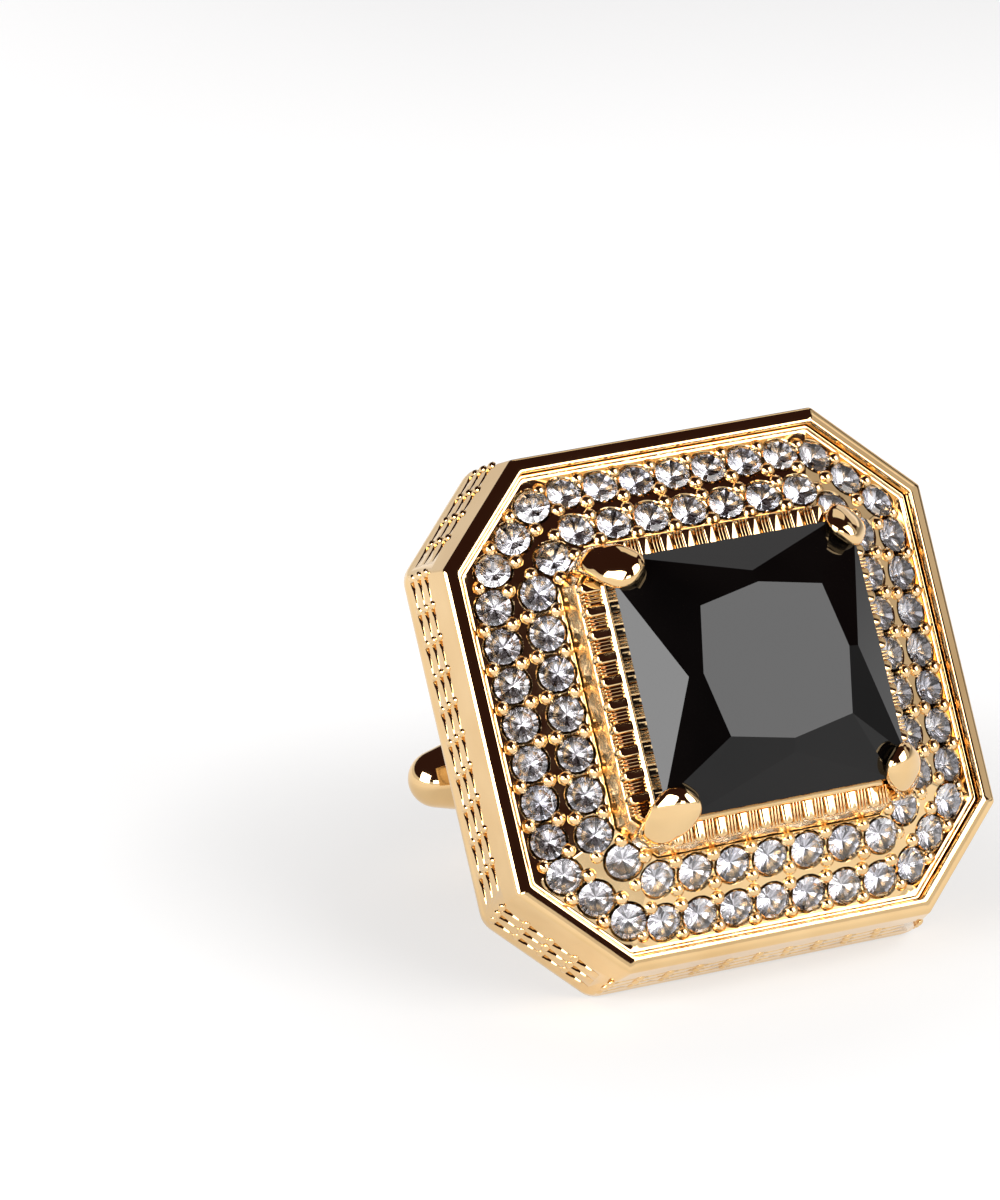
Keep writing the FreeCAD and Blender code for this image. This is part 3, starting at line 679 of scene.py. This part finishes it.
# Gallery wall, leaning in a little, with a rounded shoulder
gallery = {"foot": 6.0, "footTop": 1.02, "top": 5.82, "inside": 4.7, "low": -3.15, "shoulder": 2.10,
           "rebate": 5.14, "rebateLow": 1.9, "corner": 0.1}
# in from the top's half width and down from the shoulder
shoulderSteps = [(-0.02, 0.10), (0.0, 0.05), (0.04, 0.01), (0.09, 0.0)]


def makeGallery():
    g = gallery
    profile = [(g["inside"], g["low"]), (g["foot"], g["low"]), (g["foot"], g["footTop"])]
    profile += [(g["top"] - inward, g["shoulder"] - down) for inward, down in shoulderSteps]
    profile += [(g["rebate"], g["shoulder"]), (g["rebate"], g["rebateLow"]), (g["inside"], g["rebateLow"])]
    return sweep("galleryWall", [octagonLoop(half, z, g["corner"]) for half, z in profile], ends="joined")


seat(makeGallery(), "head", [satinGold], ["gallery"], smooth=35)


# Seat rail: the bright line round the stone, a face sloping outwards
rail = {"inner": 5.0, "outer": 5.13, "low": 1.91, "top": 2.84, "face": 0.11, "corner": 0.1}
# in from the outer side and down from the face's foot; out from the inner side and down from the top
railFootSteps = [(0.0, 0.05), (0.01, 0.02), (0.03, 0.0)]
railTopSteps = [(0.05, 0.03), (0.03, 0.01), (0.0, 0.0)]


def makeRail():
    r = rail
    profile = [(r["inner"], r["low"]), (r["outer"], r["low"])]
    profile += [(r["outer"] - inward, r["top"] - r["face"] - down) for inward, down in railFootSteps]
    profile += [(r["inner"] + outward, r["top"] - down) for outward, down in railTopSteps]
    return sweep("seatRail", [octagonLoop(half, z, r["corner"]) for half, z in profile], ends="joined")


seat(makeRail(), "head", [polishedGold], ["seat_rail"], smooth=35)


# Ribbed band: a low ring carrying one wide tongue and three thin ribs in turn, all falling outwards
band = {"inner": 5.14, "outer": 5.85, "low": 2.11, "top": 2.75, "fall": 9.5, "coreOuter": 5.62,
        "coreDeep": 0.18, "coreBevel": (0.05, 0.08), "corner": 0.1, "ribs": 10, "wide": 0.45, "thin": 0.085,
        "thinCount": 3, "slot": 0.06, "endRound": 0.19, "wideSoft": 0.10, "thinRound": 0.4, "thinSoft": 0.35,
        "thinShift": (-0.03, 0, -0.02), "cornerGap": 0.1, "near": 0.01}


def makeRib(width, endRound, endSteps, soft, softSteps):
    # x outwards, y along the band
    b = band
    clearBench()
    bpy.ops.mesh.primitive_cube_add(size=1)
    rib = nameIt("rib")
    rib.data.transform(Matrix.Translation(((b["outer"] + b["inner"]) / 2, 0, (b["low"] + b["top"]) / 2))
                       @ Matrix.Diagonal((b["outer"] - b["inner"], width, b["top"] - b["low"], 1)))
    bpy.ops.object.mode_set(mode="EDIT")
    bpy.ops.mesh.select_mode(type="EDGE")
    bpy.ops.mesh.select_all(action="DESELECT")
    bm = bmesh.from_edit_mesh(rib.data)
    for vert in bm.verts:
        if vert.co.x > b["outer"] - b["near"] and vert.co.z > b["top"] - b["near"]:
            vert.co.z -= (b["outer"] - b["inner"]) * math.tan(math.radians(b["fall"]))
    # the two upright corners at the outer end are rounded
    for edge in bm.edges:
        ends = [v.co for v in edge.verts]
        upright = abs(ends[0].y - ends[1].y) < b["near"]
        edge.select = upright and all(c.x > b["outer"] - b["near"] for c in ends)
    bmesh.update_edit_mesh(rib.data)
    bpy.ops.mesh.bevel(offset=endRound, segments=endSteps, affect="EDGES")
    # then the edges round the top are softened
    bm = bmesh.from_edit_mesh(rib.data)
    for edge in bm.edges:
        middle = (edge.verts[0].co + edge.verts[1].co) / 2
        above = all(v.co.z > b["low"] + b["near"] for v in edge.verts)
        edge.select = above and middle.x > b["inner"] + b["near"]
    bmesh.update_edit_mesh(rib.data)
    bpy.ops.mesh.bevel(offset=soft, segments=softSteps, affect="EDGES")
    closeMesh(0.0002)
    return rib


def makeBand():
    b = band
    coreTop = b["top"] - b["coreDeep"]
    coreEnd = coreTop - (b["coreOuter"] - b["inner"]) * math.tan(math.radians(b["fall"]))
    inward, down = b["coreBevel"]
    profile = [(b["inner"], b["low"]), (b["coreOuter"], b["low"]), (b["coreOuter"], coreEnd - down),
               (b["coreOuter"] - inward, coreEnd), (b["inner"], coreTop)]
    core = sweep("ribbedBand", [octagonLoop(half, z, b["corner"]) for half, z in profile], ends="joined")
    wide = makeRib(b["wide"], b["endRound"], 6, b["wideSoft"], 4)
    thin = makeRib(b["thin"], b["thin"] * b["thinRound"], 2, b["thin"] * b["thinSoft"], 2)
    thin.data.transform(Matrix.Translation(b["thinShift"]))
    items = [core]
    length = 2 * sideAt(b["outer"]) - b["cornerGap"]
    pitch = length / b["ribs"]
    spare = pitch - b["wide"] - b["slot"]
    for quarter in range(4):
        turn = Matrix.Rotation(math.radians(90 * quarter), 4, "Z")
        for i in range(b["ribs"]):
            start = -length / 2 + i * pitch
            items.append(copyTo(wide, turn @ Matrix.Translation((0, start + b["wide"] / 2, 0))))
            for k in range(b["thinCount"]):
                place = start + b["wide"] + spare * (k + 0.5) / b["thinCount"]
                items.append(copyTo(thin, turn @ Matrix.Translation((0, place, 0))))
    throwAway(wide)
    throwAway(thin)
    return joinAll("ribbedBand", items)


seat(makeBand(), "head", [polishedGold], ["ribbed_band"], smooth=40)
print("gallery, rail and band done")


# Stone: the CAD node, with its finish
for slot in frame["nodes"]["centre_stone"].material_slots:
    slot.material = stoneFinish


# Claws: a stalk up the corner of the gallery and a blunt four-sided head over the stone's corner
# each step: out along the diagonal, up, half depth, half width, lean outwards in degrees
clawSteps = [(7.55, 0.98, 0.14, 0.34, 0), (7.57, 1.70, 0.22, 0.44, 0), (7.52, 2.40, 0.34, 0.54, 4),
             (7.22, 3.08, 0.54, 0.68, 14), (6.82, 3.60, 0.86, 0.82, 26), (6.65, 3.95, 0.95, 0.88, 30),
             (6.64, 4.23, 0.86, 0.80, 31), (6.58, 4.52, 0.55, 0.53, 31), (6.54, 4.72, 0.14, 0.14, 31)]
clawShape = {"cut": 0.46, "level": 2}


def makeClaw(name):
    c = 1 - clawShape["cut"]
    ring = [(1, -c), (1, 0), (1, c), (c, 1), (0, 1), (-c, 1),
            (-1, c), (-1, 0), (-1, -c), (-c, -1), (0, -1), (c, -1)]
    across = Vector((0, 1, 0))
    loops = []
    for out, up, deep, wide, lean in clawSteps:
        a = math.radians(lean)
        along = Vector((math.cos(a), 0, -math.sin(a)))
        loops.append([Vector((out, 0, up)) + along * x * deep + across * y * wide for x, y in ring])
    claw = sweep(name, loops, ends="capped")
    applyModifier(claw, "SUBSURF", levels=clawShape["level"], render_levels=clawShape["level"])
    return claw


for quarter, corner in enumerate(cornerNames):
    claw = makeClaw(camelName("claw", corner))
    claw.data.transform(Matrix.Rotation(math.radians(45 + 90 * quarter), 4, "Z"))
    seat(claw, "head", [polishedGold], ["claw_" + corner], smooth=60)
print("stone and claws done")


# Stem: a foot on the back plate and two arms with round ends
stem = {"half": 1.5, "armIn": 2.5, "armOut": 3.4, "foot": 1.0, "edge": 0.09, "sink": 0.02, "endSteps": 16}


def makeStem():
    s = stem
    top = -headDepth
    turns = [math.pi * (1 + k / s["endSteps"]) for k in range(s["endSteps"] + 1)]
    flat = [Vector((s["half"], 0, top - s["sink"])), Vector((-s["half"], 0, top - s["sink"]))]
    flat += [Vector((s["half"] * math.cos(a), 0, pivotDrop + s["half"] * math.sin(a))) for a in turns]
    arms = []
    for side in (1, -1):
        near = [p + Vector((0, side * s["armIn"], 0)) for p in flat]
        far = [p + Vector((0, side * s["armOut"], 0)) for p in flat]
        arms.append(sweep("arm", [near, far], ends="capped"))
    clearBench()
    bpy.ops.mesh.primitive_cube_add(size=1)
    foot = nameIt("stemFork")
    foot.data.transform(Matrix.Translation((0, 0, top - s["foot"] / 2))
                        @ Matrix.Diagonal((s["half"] * 2, s["armOut"] * 2, s["foot"], 1)))
    for arm in arms:
        applyModifier(foot, "BOOLEAN", object=arm, operation="UNION", solver="EXACT")
        throwAway(arm)
    applyModifier(foot, "BEVEL", width=s["edge"], segments=3, limit_method="ANGLE",
                  angle_limit=math.radians(40))
    return foot


seat(makeStem(), "head", [polishedGold], ["stem_fork"], smooth=35)

# Pin, turned about y, with a domed head at each end
pin = {"shank": 0.6, "head": 0.95, "thick": 0.28, "reach": 3.4, "edge": 0.03, "neck": 0.01, "sides": 32}
# radius and distance from the end
domeSteps = [(0.02, 0.0), (0.35, 0.01), (0.65, 0.05), (0.85, 0.13)]


def makePin():
    p = pin
    steps = [(radius, p["reach"] + p["thick"] - down) for radius, down in domeSteps]
    steps += [(p["head"], p["reach"] + p["edge"]), (p["head"] - p["edge"], p["reach"]),
              (p["shank"], p["reach"] - p["neck"])]
    steps += [(radius, -place) for radius, place in reversed(steps)]
    loops = []
    for radius, place in steps:
        loops.append([Vector((v.x, place, pivotDrop + v.y)) for v in circleLoop(radius, p["sides"])])
    return sweep("pivotPin", loops, ends="capped")


seat(makePin(), "head", [polishedGold], ["pivot_pin"], smooth=40)


# Toggle: barrel, coned ends and ball tips, turned about x
toggleShape = {"half": 8.2, "ball": 1.13, "barrel": 2.35, "shoulder": 2.8, "soft": 0.7, "pole": 0.04,
               "arcSteps": 8, "sides": 40}


def makeToggle():
    t = toggleShape
    pole, count = t["pole"], t["arcSteps"]
    centre = t["half"] - t["ball"]
    reach = math.hypot(centre - t["shoulder"], t["barrel"])
    touch = math.pi - math.atan2(t["barrel"], centre - t["shoulder"]) - math.acos(t["ball"] / reach)
    steps = []
    for k in range(count + 1):
        a = pole + (touch - pole) * k / count
        steps.append((t["ball"] * math.sin(a), centre + t["ball"] * math.cos(a)))
    join = Vector((centre + t["ball"] * math.cos(touch), t["ball"] * math.sin(touch)))
    shoulder = Vector((t["shoulder"], t["barrel"]))
    down = (join - shoulder).normalized()
    for k in range(count + 1):      # a soft shoulder between the cone and the barrel
        f = k / count
        a = shoulder + down * t["soft"] * (1 - f)
        b = shoulder + Vector((-1, 0)) * t["soft"] * f
        spot = a * (1 - f) + b * f
        steps.append((spot.y, spot.x))
    steps += [(radius, -place) for radius, place in reversed(steps)]
    loops = []
    for radius, place in steps:
        loops.append([Vector((place, v.x, pivotDrop + v.y)) for v in circleLoop(radius, t["sides"])])
    return sweep("toggleBar", loops, ends="capped")


seat(makeToggle(), "toggle_bar", [polishedGold], ["toggle"], smooth=40)
print("stem and toggle done")


# Floor: a pale round sheet whose far edge turns up, in metres
floorShape = {"rings": (0.1, 0.4, 1.0), "curl": 0.25, "curlTurns": range(10, 90, 10), "sides": 64,
              "colour": (0.32, 0.32, 0.32, 1), "rough": 0.9}
# brightness at distances from the middle, lower under the head as a painted shadow, and how it fades to the right
# as painted shade: the way, from which share of it on, from which distance on, and to what
glowWithPaintedShade = {"rings": ((0.0, 0.52), (0.013, 0.60), (0.024, 0.74)), "reach": 0.1, "fadeWay": (1.0, 0.45, 0),
             "fadeTurn": (0.50, 0.75), "fadeFar": (0.08, 0.20), "fadeGlow": 0.3}


def makeFloor():
    f = floorShape
    middle, flatEdge = f["rings"][0], f["rings"][-1]
    rings = [(radius, 0.0) for radius in f["rings"]]
    rings += [(flatEdge + f["curl"] * math.sin(a), f["curl"] * (1 - math.cos(a)))
              for a in [math.radians(turn) for turn in f["curlTurns"]]]
    loops = []
    for radius, z in rings:
        loops.append([Vector((v.x, v.y, z)) for v in circleLoop(radius, f["sides"])])
    floor = sweep("floor", loops)
    pick(floor)
    bpy.ops.object.mode_set(mode="EDIT")
    bpy.ops.mesh.select_mode(type="EDGE")
    bpy.ops.mesh.select_all(action="DESELECT")
    bm = bmesh.from_edit_mesh(floor.data)
    for edge in bm.edges:
        edge.select = edge.is_boundary and all(v.co.length < 2 * middle for v in edge.verts)
    bmesh.update_edit_mesh(floor.data)
    bpy.ops.mesh.edge_face_add()
    bpy.ops.object.mode_set(mode="OBJECT")
    bpy.ops.object.shade_smooth()
    floor.data.materials.append(makePaper())


def makePaper():
    g = glowWithPaintedShade
    paper, nodes, links, shader = newFinish("floorPaper")
    shader.inputs["Base Color"].default_value = floorShape["colour"]
    shader.inputs["Roughness"].default_value = floorShape["rough"]
    shader.inputs["Specular IOR Level"].default_value = 0.0
    shader.inputs["Emission Color"].default_value = (1, 1, 1, 1)
    # the paper glows less under the head, a painted shadow, and far off to the right, painted shade
    spot = nodes.new("ShaderNodeTexCoord").outputs["Object"]
    distance = nodes.new("ShaderNodeVectorMath")
    distance.operation = "LENGTH"
    links.new(spot, distance.inputs[0])
    share = addSpread(nodes, links, distance.outputs["Value"], 0, 1, 0, g["reach"])
    # lower glow near the middle: a painted shadow under the head
    rings = addRamp(nodes, links, share, [(r / g["reach"], (glow, glow, glow, 1)) for r, glow in g["rings"]])
    bearing = nodes.new("ShaderNodeVectorMath")
    bearing.operation = "NORMALIZE"
    links.new(spot, bearing.inputs[0])
    towards = nodes.new("ShaderNodeVectorMath")
    towards.operation = "DOT_PRODUCT"
    towards.inputs[1].default_value = g["fadeWay"]
    links.new(bearing.outputs["Vector"], towards.inputs[0])
    onRight = addSpread(nodes, links, towards.outputs["Value"], 0, 1, *g["fadeTurn"])
    farOff = addSpread(nodes, links, distance.outputs["Value"], 0, 1, *g["fadeFar"])
    both = addMath(nodes, links, "MULTIPLY", onRight, farOff)
    # far off to the right the glow drops: painted shade on the floor
    paintedShadeFade = addSpread(nodes, links, both, 1, g["fadeGlow"], 0, 1)
    glow = addMath(nodes, links, "MULTIPLY", rings, paintedShadeFade)
    # only the camera and the reflections in metal and glass see the glow, so it puts no light on the object
    path = nodes.new("ShaderNodeLightPath")
    seen = path.outputs["Is Camera Ray"]
    for ray in ("Is Glossy Ray", "Is Transmission Ray"):
        seen = addMath(nodes, links, "MAXIMUM", seen, path.outputs[ray])
    links.new(addMath(nodes, links, "MULTIPLY", glow, seen), shader.inputs["Emission Strength"])
    return paper


makeFloor()

# Soft boxes: azimuth from the front towards the right, height angle, distance, width, height, brightness
softBoxes = {"keyBox": (32.5, 32, 0.60, 0.38, 0.51, 6.3), "leftBox": (-74, 19, 0.60, 0.46, 0.34, 11.0),
             "backBox": (150, 46, 0.70, 0.40, 0.30, 0.9), "rightBox": (128, 17, 0.70, 0.55, 0.33, 0.8),
             "fillBox": (73, 25, 0.60, 0.24, 0.44, 0.6), "highBox": (91, 43, 0.60, 0.20, 0.18, 0.5),
             "frontBox": (-26, 10, 0.60, 0.24, 0.13, 5.5)}
aim = Vector((0, 0, 0.010))
for name, (azimuth, height, distance, width, tall, bright) in softBoxes.items():
    a, h = math.radians(azimuth), math.radians(height)
    way = Vector((math.sin(a) * math.cos(h), -math.cos(a) * math.cos(h), math.sin(h)))
    lampData = bpy.data.lights.new(name, "AREA")
    lampData.shape = "RECTANGLE"
    lampData.size = width
    lampData.size_y = tall
    lampData.energy = bright * math.pi * width * tall
    lamp = bpy.data.objects.new(name, lampData)
    bpy.context.scene.collection.objects.link(lamp)
    lamp.location = aim + way * distance
    lamp.rotation_euler = way.to_track_quat("Z", "Y").to_euler()

# The rest of the room is a dim brown
roomColour = (0.032, 0.0135, 0.012, 1)
world = bpy.data.worlds.new("studio")
bpy.context.scene.world = world
world.use_nodes = True
world.node_tree.nodes["Background"].inputs["Color"].default_value = roomColour
world.node_tree.nodes["Background"].inputs["Strength"].default_value = 1.0
bpy.context.scene.view_settings.view_transform = "Standard"

# Camera where the photograph was taken, placed on the bench
cameraSet = {"place": (-121.564, -31.542, 284.250), "forward": (0.36820, 0.11783, -0.92226), "roll": -0.745,
             "lens": 245.87, "sensor": 36, "clipStart": 0.01}
cameraData = bpy.data.cameras.new("camera")
cameraData.lens = cameraSet["lens"]
cameraData.sensor_width = cameraSet["sensor"]
cameraData.clip_start = cameraSet["clipStart"]
camera = bpy.data.objects.new("camera", cameraData)
bpy.context.scene.collection.objects.link(camera)
camera.location = benchToRest @ Vector(cameraSet["place"])
lookWay = (benchToRest.to_3x3() @ Vector(cameraSet["forward"])).normalized()
turned = lookWay.to_track_quat("-Z", "Y") @ Quaternion((0, 0, 1), math.radians(cameraSet["roll"]))
camera.rotation_euler = turned.to_euler()
bpy.context.scene.camera = camera
print("floor, light and camera done")
